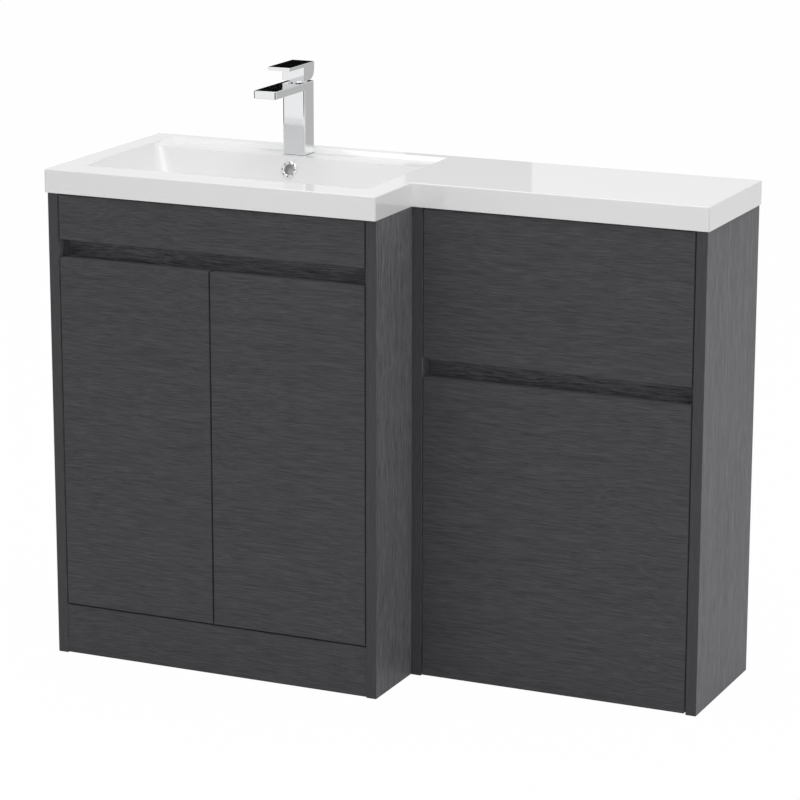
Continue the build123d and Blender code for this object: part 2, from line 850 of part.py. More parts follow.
with BuildPart() as basin:
    with BuildSketch(Plane.XY.offset(cabinet_top)):
        with BuildLine():
            Polyline(
                (x_left, y_front),
                (x_step, y_front),
                (x_step, y_step),
                (x_right, y_step),
                (x_right, y_wall),
                (x_left, y_wall),
                close=True,
            )
        make_face()
    extrude(amount=basin_edge)
    outer_corners = basin.edges().filter_by(Axis.Z).filter_by(
        lambda e: not (abs(e.center().X - x_step) < 1 and abs(e.center().Y - y_step) < 1)
    )
    fillet(outer_corners, corner_round)
    fillet(basin.faces().sort_by(Axis.Z)[-1].edges(), edge_round)
    rib_x0 = inner_x1 - (skirt - board)
    rib_x1 = wc_inner_x0 + (skirt - board)
    pocket_height = basin_edge - deck
    with BuildSketch(Plane.XY.offset(cabinet_top)):
        with Locations(((x_left + skirt + rib_x0) / 2, (y_front + y_wall) / 2)):
            RectangleRounded(rib_x0 - x_left - skirt, basin_depth - 2 * skirt, 2 * corner_round)
        with Locations(((rib_x1 + x_right - skirt) / 2, (y_step + y_wall) / 2)):
            RectangleRounded(x_right - skirt - rib_x1, shallow_depth - 2 * skirt, 2 * corner_round)
    extrude(amount=pocket_height, mode=Mode.SUBTRACT)
    add(bowl_shell.part)
    add(ledge_thickening.part)
    add(duct_body.part)
    with BuildSketch(Plane.XY.offset(boss_bottom)):
        with Locations((tap_x, waste_y)):
            Circle(boss_radius)
    extrude(amount=boss_drop)
    add(bowl_hollow.part, mode=Mode.SUBTRACT)
    add(ledge_hollow.part, mode=Mode.SUBTRACT)
    add(duct_hollow.part, mode=Mode.SUBTRACT)
    with BuildSketch(overflow_face):
        Circle(overflow_radius)
    extrude(amount=-(duct_wall + duct_gap / 2), mode=Mode.SUBTRACT)
    with BuildSketch(Plane.XY.offset(boss_bottom)):
        with Locations((tap_x, waste_y)):
            Circle(waste_hole_radius)
    extrude(amount=boss_drop + shell, mode=Mode.SUBTRACT)
    with BuildSketch(Plane.XY.offset(ledge_underside)):
        with Locations((tap_x, tap_y)):
            Circle(tap_hole_radius)
    extrude(amount=ledge_block, mode=Mode.SUBTRACT)
keep(basin, "basin")

with BuildPart() as overflow_ring:
    with BuildSketch(overflow_face):
        Circle(overflow_ring_radius)
        Circle(overflow_radius - overflow_sleeve - fastener_clearance, mode=Mode.SUBTRACT)
    extrude(amount=overflow_lip)
    fillet(overflow_ring.faces().sort_by(Axis.Y)[0].edges(), overflow_lip * 0.4)
    with BuildSketch(overflow_face):
        Circle(overflow_radius - fastener_clearance)
        Circle(overflow_radius - overflow_sleeve - fastener_clearance, mode=Mode.SUBTRACT)
    extrude(amount=-overflow_ring_depth)
keep(overflow_ring, "overflow_ring")

# Waste fitting, from the top down
tube_bottom = bowl_floor - waste_tube_length
with BuildPart() as waste_body:
    with BuildSketch(Plane.XY.offset(bowl_floor)):
        with Locations((tap_x, waste_y)):
            Circle(waste_flange_radius)
    extrude(amount=waste_flange)
    fillet(waste_body.faces().sort_by(Axis.Z)[-1].edges(), waste_flange * 0.4)
    with BuildSketch(Plane.XY.offset(tube_bottom)):
        with Locations((tap_x, waste_y)):
            Circle(waste_tube_radius)
    extrude(amount=waste_tube_length)
    with BuildSketch(Plane.XY.offset(tube_bottom)):
        with Locations((tap_x, waste_y)):
            Circle(waste_bore)
    extrude(amount=waste_tube_length + waste_flange, mode=Mode.SUBTRACT)
    with BuildSketch(Plane(origin=(tap_x, waste_y, 0), x_dir=(1, 0, 0), z_dir=(0, -1, 0))):
        with Locations((0, duct_low + duct_gap / 2)):
            SlotOverall(2 * duct_gap, duct_gap * 0.8)
    extrude(amount=waste_tube_radius + hole_room, both=True, mode=Mode.SUBTRACT)
    guide_z = bowl_floor - boss_drop - backnut_height
    guide_span = 2 * waste_bore + guide_lap
    with BuildSketch(Plane.XY.offset(guide_z)):
        with Locations((tap_x, waste_y)):
            Circle(guide_radius + guide_wall)
            Rectangle(guide_span, guide_bar)
            Rectangle(guide_bar, guide_span)
            Circle(guide_radius, mode=Mode.SUBTRACT)
    extrude(amount=guide_height)
keep(waste_body, "waste_body")

with BuildPart() as waste_seal:
    with BuildSketch(Plane.XY.offset(boss_bottom - seal_thickness)):
        with Locations((tap_x, waste_y)):
            Circle(boss_radius - seal_inset)
            Circle(waste_tube_radius + fastener_clearance, mode=Mode.SUBTRACT)
    extrude(amount=seal_thickness)
keep(waste_seal, "waste_seal")

nut_top = boss_bottom - seal_thickness
with BuildPart() as waste_backnut:
    with BuildSketch(Plane.XY.offset(nut_top - backnut_height)):
        with Locations((tap_x, waste_y)):
            RegularPolygon(backnut_radius, 8)
            Circle(waste_tube_radius + fastener_clearance, mode=Mode.SUBTRACT)
    extrude(amount=backnut_height)
keep(waste_backnut, "waste_backnut")

plug_z = bowl_floor + waste_flange + plug_rise
with BuildPart() as waste_plug:
    with BuildSketch(Plane.XY.offset(plug_z)):
        with Locations((tap_x, waste_y)):
            Circle(plug_radius)
    extrude(amount=plug_thickness)
    fillet(waste_plug.faces().sort_by(Axis.Z)[-1].edges(), plug_thickness * 0.5)
    with BuildSketch(Plane.XY.offset(plug_z)):
        with Locations((tap_x, waste_y)):
            Circle(waste_bore - plug_play)
    extrude(amount=-(plug_rise + waste_flange + plug_skirt))
    with BuildSketch(Plane.XY.offset(plug_z)):
        with Locations((tap_x, waste_y)):
            Circle(plug_stem_radius)
    extrude(amount=-(plug_z - guide_z))
keep(waste_plug, "waste_plug")

# Bottle trap under the waste, with its outlet to the wall
with BuildPart() as trap_inlet_nut:
    with BuildSketch(Plane.XY.offset(tube_bottom - trap_nut_height / 2)):
        with Locations((tap_x, waste_y)):
            RegularPolygon(trap_nut_radius, 12)
    extrude(amount=trap_nut_height)
    with BuildSketch(Plane.XY.offset(tube_bottom)):
        with Locations((tap_x, waste_y)):
            Circle(waste_tube_radius + fastener_clearance)
    extrude(amount=trap_nut_height, mode=Mode.SUBTRACT)
    with BuildSketch(Plane.XY.offset(tube_bottom - trap_nut_height)):
        with Locations((tap_x, waste_y)):
            Circle(waste_bore)
    extrude(amount=2 * trap_nut_height, mode=Mode.SUBTRACT)
keep(trap_inlet_nut, "trap_inlet_nut")

body_top = tube_bottom - trap_nut_height / 2
body_bottom = body_top - trap_body_height
outlet_z = body_top - outlet_drop
outlet_start = waste_y + trap_body_radius
with BuildPart() as trap_body:
    with BuildSketch(Plane.XY.offset(body_bottom)):
        with Locations((tap_x, waste_y)):
            Circle(trap_body_radius)
    extrude(amount=trap_body_height)
    fillet(trap_body.edges().sort_by(Axis.Z)[-1], trap_shoulder)
    with BuildSketch(Plane(origin=(tap_x, waste_y, outlet_z), x_dir=(-1, 0, 0), z_dir=(0, 1, 0))):
        Circle(outlet_radius + outlet_wall)
    extrude(amount=trap_body_radius + outlet_nut_length / 2)
    with BuildSketch(Plane.XY.offset(body_bottom)):
        with Locations((tap_x, waste_y)):
            Circle(trap_body_radius - trap_wall)
    extrude(amount=trap_body_height - trap_wall, mode=Mode.SUBTRACT)
    with BuildSketch(Plane.XY.offset(body_bottom)):
        with Locations((tap_x, waste_y)):
            Circle(dip_radius + trap_wall)
    extrude(amount=trap_body_height)
    with BuildSketch(Plane.XY.offset(body_bottom)):
        with Locations((tap_x, waste_y)):
            Circle(dip_radius)
    extrude(amount=trap_body_height, mode=Mode.SUBTRACT)
    outlet_mouth_y = waste_y + waste_bore + trap_wall
    with BuildSketch(Plane(origin=(tap_x, outlet_mouth_y, outlet_z), x_dir=(-1, 0, 0), z_dir=(0, 1, 0))):
        Circle(outlet_radius - outlet_wall)
    extrude(amount=trap_body_radius + outlet_nut_length, mode=Mode.SUBTRACT)
keep(trap_body, "trap_body")

with BuildPart() as trap_cup:
    with BuildSketch(Plane.XY.offset(body_bottom - trap_cup_height)):
        with Locations((tap_x, waste_y)):
            Circle(trap_body_radius - cup_step)
    extrude(amount=trap_cup_height)
    fillet(trap_cup.edges().sort_by(Axis.Z)[0], trap_cup_round)
    with BuildSketch(Plane.XY.offset(body_bottom - cup_ring_height)):
        with Locations((tap_x, waste_y)):
            RegularPolygon(trap_body_radius + cup_ring_margin, cup_ring_sides)
    extrude(amount=cup_ring_height)
    with BuildSketch(Plane.XY.offset(body_bottom - trap_cup_height + trap_wall)):
        with Locations((tap_x, waste_y)):
            Circle(trap_body_radius - cup_step - trap_wall)
    extrude(amount=trap_cup_height, mode=Mode.SUBTRACT)
keep(trap_cup, "trap_cup")

pipe_start = outlet_start + outlet_nut_length / 2
pipe_free_start = pipe_start + outlet_nut_length / 2
spigot_radius = outlet_radius - spigot_step
with BuildPart() as trap_outlet_pipe:
    wall_end = Plane(origin=(tap_x, pipe_free_start, outlet_z), x_dir=(-1, 0, 0), z_dir=(0, 1, 0))
    with BuildSketch(wall_end):
        Circle(outlet_radius)
    extrude(amount=y_wall - pipe_free_start)
    with BuildSketch(Plane(origin=(tap_x, pipe_start, outlet_z), x_dir=(-1, 0, 0), z_dir=(0, 1, 0))):
        Circle(spigot_radius)
    extrude(amount=pipe_free_start - pipe_start)
    with BuildSketch(Plane(origin=(tap_x, pipe_start, outlet_z), x_dir=(-1, 0, 0), z_dir=(0, 1, 0))):
        Circle(outlet_radius - outlet_wall)
    extrude(amount=y_wall - pipe_start, mode=Mode.SUBTRACT)
keep(trap_outlet_pipe, "trap_outlet_pipe")

with BuildPart() as trap_outlet_nut:
    nut_start = outlet_start + outlet_nut_gap
    nut_face = Plane(origin=(tap_x, nut_start, outlet_z), x_dir=(-1, 0, 0), z_dir=(0, 1, 0))
    with BuildSketch(nut_face):
        RegularPolygon(outlet_nut_radius, 12)
        Circle(outlet_radius + outlet_wall + fastener_clearance, mode=Mode.SUBTRACT)
    extrude(amount=outlet_nut_length / 2 - outlet_nut_gap)
    with BuildSketch(Plane(origin=(tap_x, pipe_start, outlet_z), x_dir=(-1, 0, 0), z_dir=(0, 1, 0))):
        RegularPolygon(outlet_nut_radius, 12)
        Circle(spigot_radius + fastener_clearance, mode=Mode.SUBTRACT)
    extrude(amount=outlet_nut_length / 2)
keep(trap_outlet_nut, "trap_outlet_nut")

# Mixer tap on the ledge
tap_x0 = tap_x - tap_width / 2
tap_front, tap_back = tap_y - tap_depth / 2, tap_y + tap_depth / 2
tap_base = ledge_top + tap_flange_height
tap_top = ledge_top + tap_height
spout_tip = tap_front - spout_reach
across_tap = Plane(origin=(tap_x0, 0, 0), x_dir=(0, 1, 0), z_dir=(1, 0, 0))
with BuildPart() as tap_base_gasket:
    with BuildSketch(Plane.XY.offset(ledge_top)):
        with Locations((tap_x, tap_y)):
            RectangleRounded(
                tap_width + 2 * tap_flange_margin, tap_depth + 2 * tap_flange_margin, 1.5 * tap_edge
            )
            Circle(tap_hole_radius - 3, mode=Mode.SUBTRACT)
    extrude(amount=tap_flange_height)
keep(tap_base_gasket, "tap_base_gasket")

inlet_y = tap_y - inlet_forward
inlet_places = [(tap_x - inlet_step / 2, inlet_y), (tap_x + inlet_step / 2, inlet_y)]
stud_y = tap_y + stud_bolt_back
with BuildPart() as tap_body:
    with BuildSketch(across_tap):
        with BuildLine():
            Polyline(
                (tap_back, tap_base),
                (tap_back, tap_top),
                (spout_tip, tap_top),
                (spout_tip, tap_top - spout_thickness),
                (tap_front, tap_top - spout_thickness),
                (tap_front, tap_base),
                close=True,
            )
        make_face()
    extrude(amount=tap_width)
    under_spout = tap_body.edges().filter_by(Axis.X).filter_by(
        lambda e: abs(e.center().Y - tap_front) < 0.1 and abs(e.center().Z - tap_top + spout_thickness) < 0.1
    )
    fillet(under_spout, spout_fillet)
    tip_edge = tap_body.edges().filter_by(Axis.X).filter_by(
        lambda e: abs(e.center().Y - spout_tip) < 0.1 and e.center().Z < tap_top - 1
    )
    fillet(tip_edge, spout_fillet * 0.75)
    rest = tap_body.edges().filter_by(lambda e: e.center().Z > tap_base + tap_edge)
    fillet(rest, tap_edge / 2)
    with BuildSketch(Plane.XY.offset(tap_top)):
        with Locations((tap_x, tap_y)):
            Circle(cartridge_radius + cartridge_fit)
    extrude(amount=-(cartridge_length + hole_room), mode=Mode.SUBTRACT)
    water_z = tap_top - spout_thickness / 2
    water_y = tap_y - cartridge_radius + water_overlap
    aerator_y = spout_tip + aerator_setback
    with BuildSketch(Plane(origin=(tap_x, water_y, water_z), x_dir=(1, 0, 0), z_dir=(0, -1, 0))):
        Circle(water_radius)
    extrude(amount=water_y - aerator_y, mode=Mode.SUBTRACT)
    with BuildSketch(Plane.XY.offset(tap_top - spout_thickness)):
        with Locations((tap_x, aerator_y)):
            Circle(aerator_radius + fastener_clearance)
    extrude(amount=aerator_height, mode=Mode.SUBTRACT)
    with BuildSketch(Plane.XY.offset(tap_base)):
        with Locations(*inlet_places):
            Circle(inlet_radius)
        with Locations((tap_x, stud_y)):
            Circle(stud_bolt_radius + fastener_clearance)
    extrude(amount=inlet_depth, mode=Mode.SUBTRACT)
    with BuildSketch(Plane.XY.offset(tap_base)):
        with Locations(*inlet_places):
            Circle(inlet_radius / 2)
    extrude(amount=tap_top - cartridge_length - tap_base, mode=Mode.SUBTRACT)
keep(tap_body, "tap_body")

with BuildPart() as aerator:
    with BuildSketch(Plane.XY.offset(tap_top - spout_thickness - aerator_proud)):
        with Locations((tap_x, aerator_y)):
            Circle(aerator_radius)
            with GridLocations(2.7 * aerator_hole_radius, 2.7 * aerator_hole_radius, 3, 3):
                Circle(aerator_hole_radius, mode=Mode.SUBTRACT)
    extrude(amount=aerator_height - hole_room)
keep(aerator, "aerator")

with BuildPart() as tap_cartridge:
    with BuildSketch(Plane.XY.offset(tap_top - cartridge_length)):
        with Locations((tap_x, tap_y)):
            Circle(cartridge_radius)
    extrude(amount=cartridge_length - collar_spigot)
    with BuildSketch(Plane.XY.offset(tap_top - cartridge_length / 2)):
        with Locations((tap_x, tap_y)):
            Circle(stem_radius + 2 * stem_pin_clearance)
    extrude(amount=cartridge_length / 2, mode=Mode.SUBTRACT)
    with BuildSketch(Plane.XY.offset(tap_top - cartridge_length)):
        with Locations(*inlet_places):
            Circle(inlet_radius / 2)
    extrude(amount=cartridge_length / 3, mode=Mode.SUBTRACT)
keep(tap_cartridge, "tap_cartridge")

collar_bore = stem_radius + stem_play
with BuildPart() as tap_collar:
    with BuildSketch(Plane.XY.offset(tap_top)):
        with Locations((tap_x, tap_y)):
            Circle(collar_radius)
            Circle(collar_bore, mode=Mode.SUBTRACT)
    extrude(amount=collar_height)
    fillet(tap_collar.edges().sort_by(Axis.Z)[-1], collar_height * 0.4)
    with BuildSketch(Plane.XY.offset(tap_top)):
        with Locations((tap_x, tap_y)):
            Circle(cartridge_radius)
            Circle(collar_bore, mode=Mode.SUBTRACT)
    extrude(amount=-collar_spigot)
keep(tap_collar, "tap_collar")

# Lever: a plate over a hollow block that rocks on the pin of the turning stem
block_low = tap_top + lever_gap
pivot_z = block_low + lever_back_round
pivot_y = tap_back - lever_back_round
block_top = block_low + lever_block_height
plate_top = block_top + lever_plate_height
plate_tip = tap_front - lever_plate_front
grub_face = Plane(origin=(tap_x, tap_back, block_top - grub_drop), x_dir=(-1, 0, 0), z_dir=(0, 1, 0))
with BuildPart() as tap_lever:
    with BuildSketch(across_tap):
        with BuildLine():
            Line((tap_front, block_low), (pivot_y, block_low))
            RadiusArc((pivot_y, block_low), (tap_back, pivot_z), -lever_back_round)
            Line((tap_back, pivot_z), (tap_back, plate_top))
            Line((tap_back, plate_top), (plate_tip, plate_top))
            Line((plate_tip, plate_top), (plate_tip, block_top))
            Line((plate_tip, block_top), (tap_front, block_top))
            Line((tap_front, block_top), (tap_front, block_low))
        make_face()
    extrude(amount=tap_width)
    fillet(tap_lever.edges().filter_by(lambda e: e.center().Z > block_low + tap_edge), tap_edge / 2)
    with BuildSketch(Plane.XY.offset(block_low)):
        with Locations((tap_x, (tap_front + tap_back) / 2)):
            Rectangle(lever_slot, tap_depth - 2 * lever_wall)
    extrude(amount=lever_block_height - lever_ceiling, mode=Mode.SUBTRACT)
    pin_bore_x = tap_x0 + lever_cheek
    with BuildSketch(Plane(origin=(pin_bore_x, pivot_y, pivot_z), x_dir=(0, 1, 0), z_dir=(1, 0, 0))):
        Circle(stem_pin_radius + stem_pin_clearance)
    extrude(amount=tap_width - 2 * lever_cheek, mode=Mode.SUBTRACT)
    with BuildSketch(grub_face):
        Circle(grub_radius + fastener_clearance)
    extrude(amount=-lever_wall, mode=Mode.SUBTRACT)
keep(tap_lever, "tap_lever")

pin_end = lever_wall - pin_in_lever
with BuildPart() as tap_turning_stem:
    with BuildSketch(Plane.XY.offset(tap_top - cartridge_length / 2 + stem_play)):
        with Locations((tap_x, tap_y)):
            Circle(stem_radius)
    extrude(amount=pivot_z - tap_top + cartridge_length / 2 - stem_play)
    with BuildSketch(Plane(origin=(tap_x0 + pin_end, pivot_y, pivot_z), x_dir=(0, 1, 0), z_dir=(1, 0, 0))):
        Circle(stem_pin_radius)
    extrude(amount=tap_width - 2 * pin_end)
    eye_x = tap_x - stem_radius
    with BuildSketch(Plane(origin=(eye_x, pivot_y, pivot_z), x_dir=(0, 1, 0), z_dir=(1, 0, 0))):
        Circle(stem_pin_radius + stem_eye_wall)
    extrude(amount=2 * stem_radius)
keep(tap_turning_stem, "tap_turning_stem")

with BuildPart() as lever_grub_screw:
    with BuildSketch(grub_face.offset(-grub_sink)):
        Circle(grub_radius)
    extrude(amount=-(lever_wall - grub_sink))
    with BuildSketch(grub_face.offset(-grub_sink)):
        RegularPolygon(grub_radius / 2, 6)
    extrude(amount=-grub_radius, mode=Mode.SUBTRACT)
keep(lever_grub_screw, "lever_grub_screw")

# Clamp under the ledge: stud, horseshoe plate on a rubber pad, nut
with BuildPart() as tap_stud:
    with BuildSketch(Plane.XY.offset(tap_base + inlet_depth - 2 - stud_bolt_length)):
        with Locations((tap_x, stud_y)):
            Circle(stud_bolt_radius)
    extrude(amount=stud_bolt_length)
keep(tap_stud, "tap_stud")


def horseshoe(top, thickness):
    """A clamp piece open to the front, where the hoses pass, with a hole for the stud."""
    with BuildPart() as piece:
        with BuildSketch(Plane.XY.offset(top - thickness)):
            with Locations((tap_x, tap_y)):
                Circle(tap_clamp_radius)
            slot_length = 2 * tap_clamp_radius
            with Locations((tap_x, inlet_y + tap_clamp_slot_back - slot_length / 2)):
                RectangleRounded(tap_clamp_slot, slot_length, tap_clamp_slot_round, mode=Mode.SUBTRACT)
            with Locations((tap_x, stud_y)):
                Circle(stud_bolt_radius + fastener_clearance, mode=Mode.SUBTRACT)
        extrude(amount=thickness)
    return piece


keep(horseshoe(ledge_underside, tap_clamp_rubber), "tap_clamp_pad")
keep(horseshoe(ledge_underside - tap_clamp_rubber, tap_clamp_plate), "tap_clamp_plate")

nut_base = ledge_underside - tap_clamp_rubber - tap_clamp_plate - tap_nut_height
with BuildPart() as tap_clamp_nut:
    with BuildSketch(Plane.XY.offset(nut_base)):
        with Locations((tap_x, stud_y)):
            RegularPolygon(tap_nut_radius, 6)
            Circle(stud_bolt_radius + fastener_clearance, mode=Mode.SUBTRACT)
    extrude(amount=tap_nut_height)
keep(tap_clamp_nut, "tap_clamp_nut")
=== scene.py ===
"""Looks of the bathroom vanity run: dark wood-grain cabinets under a glossy cast basin with a chrome tap."""
import json
import math

import bmesh
import bpy
from mathutils import Matrix, Vector


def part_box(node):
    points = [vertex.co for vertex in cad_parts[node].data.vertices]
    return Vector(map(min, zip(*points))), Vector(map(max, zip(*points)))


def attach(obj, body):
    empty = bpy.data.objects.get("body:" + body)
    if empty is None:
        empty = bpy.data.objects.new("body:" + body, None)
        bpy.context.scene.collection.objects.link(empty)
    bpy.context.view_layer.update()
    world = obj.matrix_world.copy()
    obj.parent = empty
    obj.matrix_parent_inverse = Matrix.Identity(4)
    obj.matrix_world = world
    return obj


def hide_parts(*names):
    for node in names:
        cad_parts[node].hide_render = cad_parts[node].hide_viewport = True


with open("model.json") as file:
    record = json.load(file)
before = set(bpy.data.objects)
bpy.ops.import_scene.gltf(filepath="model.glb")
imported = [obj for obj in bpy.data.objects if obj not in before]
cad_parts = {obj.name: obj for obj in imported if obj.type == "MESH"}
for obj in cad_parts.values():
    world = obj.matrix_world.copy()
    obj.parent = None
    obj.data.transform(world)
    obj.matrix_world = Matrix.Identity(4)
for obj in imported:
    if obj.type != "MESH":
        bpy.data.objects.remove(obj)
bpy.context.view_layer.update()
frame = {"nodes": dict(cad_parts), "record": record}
nodes = frame["nodes"]
slot_of_node = {part["node"]: part["material_slot"] for part in frame["record"]["subparts"]}
quarter = math.pi / 2

# Camera, in metres
camera_place = Vector((2.14298, -4.73419, 1.76468))
camera_right = Vector((0.91104, 0.41231, 0.00157))
camera_up = Vector((-0.10235, 0.22246, 0.96955))
camera_forward = Vector((-0.39941, 0.88346, -0.24487))
camera_lens = 146.195
camera_sensor = 36.0
camera_shift_x = -0.00146
camera_shift_y = 0.0004
camera_reach = 100.0

# Studio: each softbox has a place, a target, a side and a power
floor_reach = 30.0
floor_albedo = 0.95
floor_glow_share = 0.985
ambient_strength = 0.6
backdrop_strength = 1.0
softboxes = {
    "side_softbox": ((3.2, -2.4, 1.5), (0.3, 0.0, 0.45), 1.6, 7.0),
    "overhead_softbox": ((0.0, -0.3, 3.4), (0.0, 0.0, 0.8), 3.0, 46.0),
    "front_softbox": ((1.2, -3.6, 2.6), (0.0, 0.0, 0.5), 2.4, 9.0),
}

# Cards that the polished metal mirrors: distances from the tap, and the ends of the two side cards
flag_tone = 0.004
grey_flag_tone = 0.54
card_behind = 0.24
black_card_left = 0.14
black_card_half = 0.1
black_card_low = 0.004
black_card_high = 0.14
grey_card_near = 0.06
grey_card_far = 0.3
grey_card_drop = 0.1
right_card = (0.9, -2.6, 2.2, 0.6, 0.0, 0.8)
left_card = (-2.4, -1.6, -2.4, 2.2, 0.05, 0.85)

# Laminate tones and gloss
front_tone = (0.0560, 0.0560, 0.0594, 1.0)
front_tone_pale = (0.1020, 0.1020, 0.1082, 1.0)
# The carcass tones are painted lighter than the front laminate, to stand in for the light on the side faces.
painted_light_tone = (0.0580, 0.0572, 0.0626, 1.0)
painted_light_tone_pale = (0.2360, 0.2323, 0.2547, 1.0)
edge_tone = (0.0640, 0.0640, 0.0672, 1.0)
edge_tone_pale = (0.0860, 0.0860, 0.0906, 1.0)
edge_band_span = (0.5, 0.7)
laminate_specular = 0.06
laminate_roughness = 0.46
laminate_roughness_swing = 0.1
laminate_sheen = 0.2
laminate_sheen_roughness = 0.4

# Wood grain: the scale of each layer, the span of its noise that shows, and its share of the tone
streaks_per_metre = 680.0
streak_stretch = 30.0
grain_wander = 0.004
wander_scale = 3.0
wander_gain = 6.0
pore_scale = 2.6
drift_scale = 0.12
streak_span = (0.34, 0.66)
pore_span = (0.52, 0.7)
drift_span = (0.3, 0.7)
streak_share = 0.84
drift_share = 0.16
pore_depth = 0.35
grain_relief = 0.2
grain_relief_depth = 0.0003

# Other finishes
basin_tone = (0.93, 0.93, 0.932, 1.0)
basin_coat = 0.4
basin_coat_roughness = 0.03
chrome_tone = (0.83, 0.835, 0.845, 1.0)
steel_tone = (0.56, 0.565, 0.57, 1.0)
brass_tone = (0.72, 0.53, 0.27, 1.0)
rubber_tone = (0.018, 0.018, 0.019, 1.0)
clear_pad_tone = (0.75, 0.77, 0.78, 1.0)
white_plastic_tone = (0.72, 0.72, 0.71, 1.0)
grey_plastic_tone = (0.2, 0.2, 0.205, 1.0)
patch_scale = 14.0
speck_scale = 260.0
variation_span = (0.3, 0.7)
speck_relief_depth = 0.0002

# Smoothed copies of the curved pieces
merge_distance = 0.00001
crease_angle = math.radians(28.0)

# Overflow flange, and the black blocks painted as the shade in its notches, in metres
overflow_tilt = math.radians(20.6)
flange_bore = 0.0088
flange_crown_radius = 0.0100
flange_shoulder_radius = 0.0128
flange_radius = 0.0145
flange_proud = 0.0016
flange_lip_rise = 0.4
flange_shoulder_rise = 0.8
flange_sink = 0.0012
flange_steps = 64
notch_count = 8
notch_size = (0.0026, 0.0017, 0.0008)
notch_circle_share = 0.8

# Grip ribs of the trap cup; their drop and height are shares of the cup
rib_count = 24
rib_depth = 0.0016
rib_width = 0.0022
rib_height_share = 0.16
rib_drop_share = 0.2

# Tap body, in metres
spout_thickness = 0.0135
tap_body_depth = 0.0385
tap_bevel = 0.0034
tap_bevel_steps = 5
tap_soft_edge = 0.4


# Node tree helpers
def new_group(name, inputs, outputs):
    """An empty shader node group with named number and vector sockets."""
    group = bpy.data.node_groups.new(name, "ShaderNodeTree")
    for socket, kind, value in inputs:
        made = group.interface.new_socket(name=socket, in_out="INPUT", socket_type=kind)
        if value is not None:
            made.default_value = value
    for socket in outputs:
        group.interface.new_socket(name=socket, in_out="OUTPUT", socket_type="NodeSocketFloat")
    start = group.nodes.new("NodeGroupInput")
    end = group.nodes.new("NodeGroupOutput")
    return group, start, end


def add_node(tree, kind, **settings):
    """A node with its properties set."""
    node = tree.nodes.new(kind)
    for key, value in settings.items():
        setattr(node, key, value)
    return node


def feed(tree, socket, value):
    """Gives a socket a number, or a link from another socket."""
    if isinstance(value, (int, float)):
        socket.default_value = value
    else:
        tree.links.new(value, socket)


def math_node(tree, operation, first, second, clamp=False):
    """A Math node whose inputs are sockets or numbers."""
    node = add_node(tree, "ShaderNodeMath", operation=operation, use_clamp=clamp)
    feed(tree, node.inputs[0], first)
    feed(tree, node.inputs[1], second)
    return node.outputs[0]


def remap(tree, value, span, to_span=(0.0, 1.0)):
    """A Map Range node from one span to another."""
    node = add_node(tree, "ShaderNodeMapRange")
    tree.links.new(value, node.inputs["Value"])
    node.inputs["From Min"].default_value = span[0]
    node.inputs["From Max"].default_value = span[1]
    node.inputs["To Min"].default_value = to_span[0]
    node.inputs["To Max"].default_value = to_span[1]
    return node.outputs["Result"]


def noise(tree, vector, scale, detail, roughness=0.5):
    """A noise texture read at a vector; the scale is a number or a socket."""
    node = add_node(tree, "ShaderNodeTexNoise")
    tree.links.new(vector, node.inputs["Vector"])
    feed(tree, node.inputs["Scale"], scale)
    node.inputs["Detail"].default_value = detail
    node.inputs["Roughness"].default_value = roughness
    return node.outputs["Fac"]


def make_grain_group():
    """Printed wood grain: long wavy streaks, short pores and slow drifts of tone, along the X direction."""
    group, start, end = new_group(
        "wood_grain",
        (("Vector", "NodeSocketVector", None), ("Streaks", "NodeSocketFloat", streaks_per_metre),
         ("Stretch", "NodeSocketFloat", streak_stretch), ("Wander", "NodeSocketFloat", grain_wander)),
        ("Streaks", "Pores", "Drift"),
    )
    slow = noise(group, start.outputs["Vector"], wander_scale, detail=2.0)
    wave = math_node(group, "MULTIPLY", math_node(group, "SUBTRACT", slow, 0.5), start.outputs["Wander"])
    across = math_node(group, "MULTIPLY", wave, wander_gain)
    split = add_node(group, "ShaderNodeSeparateXYZ")
    group.links.new(start.outputs["Vector"], split.inputs[0])
    join = add_node(group, "ShaderNodeCombineXYZ")
    along = math_node(group, "DIVIDE", split.outputs["X"], start.outputs["Stretch"])
    group.links.new(along, join.inputs["X"])
    group.links.new(math_node(group, "ADD", split.outputs["Y"], across), join.inputs["Y"])
    group.links.new(math_node(group, "ADD", split.outputs["Z"], across), join.inputs["Z"])
    stretched = join.outputs[0]
    pore_rate = math_node(group, "MULTIPLY", start.outputs["Streaks"], pore_scale)
    drift_rate = math_node(group, "MULTIPLY", start.outputs["Streaks"], drift_scale)
    streaks = noise(group, stretched, start.outputs["Streaks"], detail=3.0, roughness=0.6)
    pores = noise(group, stretched, pore_rate, detail=2.0)
    drift = noise(group, stretched, drift_rate, detail=2.0)
    group.links.new(remap(group, streaks, streak_span), end.inputs["Streaks"])
    group.links.new(remap(group, pores, pore_span), end.inputs["Pores"])
    group.links.new(remap(group, drift, drift_span), end.inputs["Drift"])
    return group


def make_variation_group():
    """Soft patches and fine specks for handled or cast surfaces."""
    group, start, end = new_group(
        "surface_variation",
        (("Vector", "NodeSocketVector", None), ("Patch Size", "NodeSocketFloat", patch_scale),
         ("Speck Size", "NodeSocketFloat", speck_scale)),
        ("Patches", "Specks"),
    )
    patches = noise(group, start.outputs["Vector"], start.outputs["Patch Size"], detail=3.0)
    specks = noise(group, start.outputs["Vector"], start.outputs["Speck Size"], detail=2.0)
    group.links.new(remap(group, patches, variation_span), end.inputs["Patches"])
    group.links.new(remap(group, specks, variation_span), end.inputs["Specks"])
    return group


grain_group = make_grain_group()
variation_group = make_variation_group()


# Materials
def empty_material(name):
    """A material with an empty node tree and its output node."""
    material = bpy.data.materials.new(name)
    material.use_nodes = True
    tree = material.node_tree
    tree.nodes.clear()
    return material, tree, add_node(tree, "ShaderNodeOutputMaterial")


